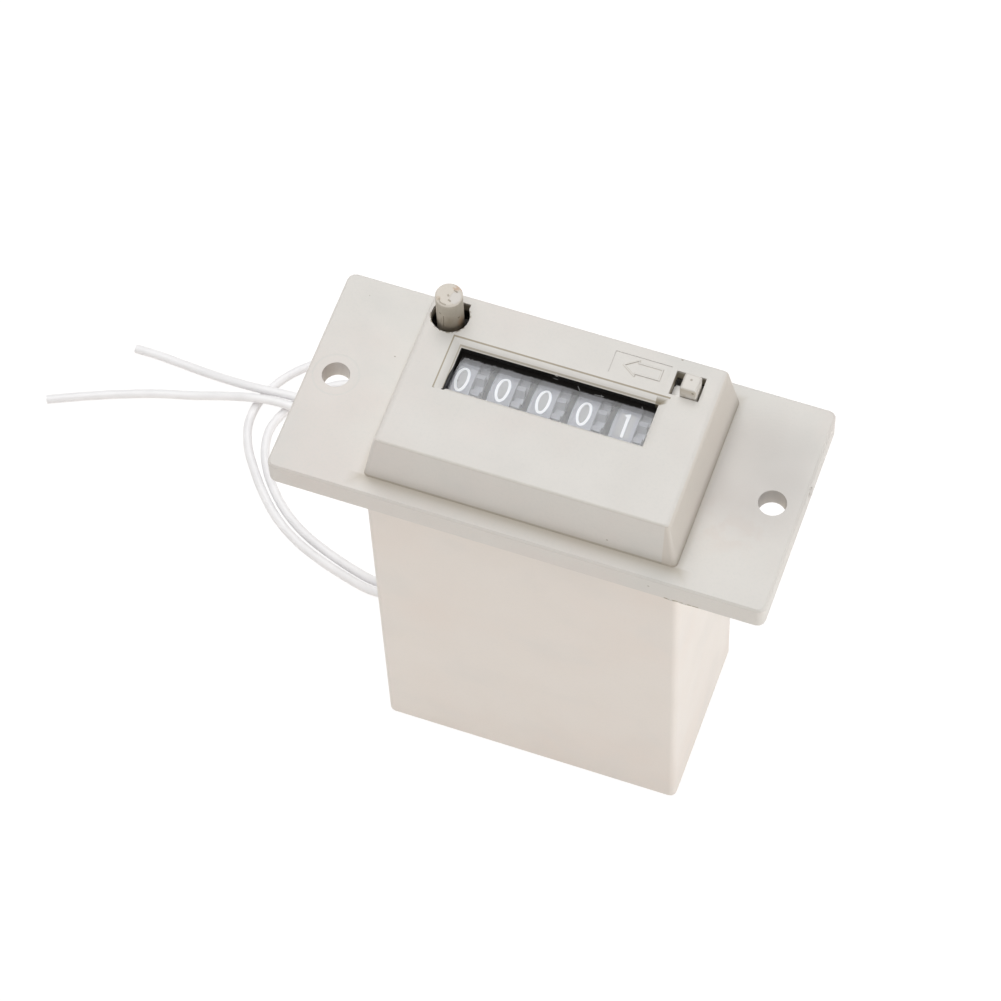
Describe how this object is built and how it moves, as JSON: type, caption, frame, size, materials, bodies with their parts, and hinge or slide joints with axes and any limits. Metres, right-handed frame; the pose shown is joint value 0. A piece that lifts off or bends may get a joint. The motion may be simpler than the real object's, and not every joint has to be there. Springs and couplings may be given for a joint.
{
  "type": "electromagnetic counter",
  "caption": "Panel-mounting electromagnetic counter with number wheels behind a window, a reset button, a lock slider, a coil in a deep housing and two lead wires.",
  "frame": {"origin": "centre of the object's outline in plan, on the plane that the rear end of the housing stands on", "axes": "+X along the flange towards the lock slider, +Y towards the edge that the button and the slider are nearest to, +Z out of the face towards the reader"},
  "size_m": [0.1448, 0.067, 0.0964],
  "materials": {
    "case_plastic": "off-white moulded plastic, satin, slightly aged",
    "housing_plastic": "warm white moulded plastic, satin",
    "lens_clear": "clear acrylic with fine scratches",
    "button_plastic": "yellowed beige plastic, worn at the top edge",
    "slider_plastic": "off-white plastic, handled",
    "wheel_plastic": "dark grey moulded plastic with printed white digits",
    "gear_plastic": "natural acetal",
    "steel": "zinc plated steel",
    "soft_iron": "bare soft iron, oiled",
    "bobbin_plastic": "dark green phenolic",
    "copper_wire": "enamelled copper wire",
    "lead_insulation": "white insulation, soft gloss",
    "grommet_rubber": "black rubber"
  },
  "bodies": {
    "case": {"front_cover": "case_plastic", "rear_housing": "housing_plastic", "window_lens": "lens_clear", "side_plate_left": "steel", "side_plate_right": "steel", "spacer_front": "steel", "spacer_rear": "steel", "wheel_shaft": "steel", "pinion_shaft": "steel", "reset_shaft": "steel", "armature_pin": "steel", "core_screw": "steel", "reset_spring": "steel", "armature_spring": "steel", "terminal_pin_a": "steel", "terminal_pin_b": "steel", "frame_screw_1": "steel", "frame_screw_2": "steel", "frame_screw_3": "steel", "frame_screw_4": "steel", "spacer_screw_front_left": "steel", "spacer_screw_front_right": "steel", "spacer_screw_rear_left": "steel", "spacer_screw_rear_right": "steel", "magnet_yoke": "soft_iron", "coil_core": "soft_iron", "coil_bobbin": "bobbin_plastic", "coil_winding": "copper_wire", "lead_wire_a": "lead_insulation", "lead_wire_b": "lead_insulation", "inner_lead_a": "lead_insulation", "inner_lead_b": "lead_insulation", "lead_grommet": "grommet_rubber"},
    "wheel_1": {"number_wheel_1": "wheel_plastic", "ratchet_wheel": "gear_plastic"},
    "wheel_2": {"number_wheel_2": "wheel_plastic"},
    "wheel_3": {"number_wheel_3": "wheel_plastic"},
    "wheel_4": {"number_wheel_4": "wheel_plastic"},
    "wheel_5": {"number_wheel_5": "wheel_plastic"},
    "pinion_1": {"transfer_pinion_1": "gear_plastic"},
    "pinion_2": {"transfer_pinion_2": "gear_plastic"},
    "pinion_3": {"transfer_pinion_3": "gear_plastic"},
    "pinion_4": {"transfer_pinion_4": "gear_plastic"},
    "button": {"reset_button": "button_plastic"},
    "comb": {"reset_comb": "steel"},
    "lock": {"lock_slider": "slider_plastic"},
    "armature": {"armature": "soft_iron", "pallet_fork": "gear_plastic"}
  },
  "joints": [
    {"name": "wheel_1_spin", "type": "hinge", "parent": "case", "child": "wheel_1", "pos_m": [0, 0.0027, 0.0765], "axis": [1, 0, 0], "continuous": true},
    {"name": "wheel_2_spin", "type": "hinge", "parent": "case", "child": "wheel_2", "pos_m": [0, 0.0027, 0.0765], "axis": [1, 0, 0], "continuous": true},
    {"name": "wheel_3_spin", "type": "hinge", "parent": "case", "child": "wheel_3", "pos_m": [0, 0.0027, 0.0765], "axis": [1, 0, 0], "continuous": true},
    {"name": "wheel_4_spin", "type": "hinge", "parent": "case", "child": "wheel_4", "pos_m": [0, 0.0027, 0.0765], "axis": [1, 0, 0], "continuous": true},
    {"name": "wheel_5_spin", "type": "hinge", "parent": "case", "child": "wheel_5", "pos_m": [0, 0.0027, 0.0765], "axis": [1, 0, 0], "continuous": true},
    {"name": "pinion_1_spin", "type": "hinge", "parent": "case", "child": "pinion_1", "pos_m": [0, 0.0027, 0.06398], "axis": [1, 0, 0], "continuous": true},
    {"name": "pinion_2_spin", "type": "hinge", "parent": "case", "child": "pinion_2", "pos_m": [0, 0.0027, 0.06398], "axis": [1, 0, 0], "continuous": true},
    {"name": "pinion_3_spin", "type": "hinge", "parent": "case", "child": "pinion_3", "pos_m": [0, 0.0027, 0.06398], "axis": [1, 0, 0], "continuous": true},
    {"name": "pinion_4_spin", "type": "hinge", "parent": "case", "child": "pinion_4", "pos_m": [0, 0.0027, 0.06398], "axis": [1, 0, 0], "continuous": true},
    {"name": "button_press", "type": "slide", "parent": "case", "child": "button", "axis": [0, 0, -1], "range_m": [0, 0.004], "stiffness_N_per_m": 200, "springref_m": -0.002, "deforming": ["reset_spring"]},
    {"name": "comb_swing", "type": "hinge", "parent": "case", "child": "comb", "pos_m": [0, -0.005, 0.061], "axis": [1, 0, 0], "range_deg": [-16, 0]},
    {"name": "lock_slide", "type": "slide", "parent": "case", "child": "lock", "axis": [-1, 0, 0], "range_m": [0, 0.0015]},
    {"name": "armature_swing", "type": "hinge", "parent": "case", "child": "armature", "pos_m": [0, 0.0116, 0.047], "axis": [1, 0, 0], "range_deg": [0, 3.5], "stiffness_Nm_per_rad": 0.02, "springref_deg": -5.73}
  ],
  "couplings": [
    {"joint": "pinion_1_spin", "follows": "wheel_2_spin", "ratio": -2.5},
    {"joint": "pinion_2_spin", "follows": "wheel_3_spin", "ratio": -2.5},
    {"joint": "pinion_3_spin", "follows": "wheel_4_spin", "ratio": -2.5},
    {"joint": "pinion_4_spin", "follows": "wheel_5_spin", "ratio": -2.5},
    {"joint": "comb_swing", "follows": "button_press", "rad_per_m": -69.8}
  ]
}
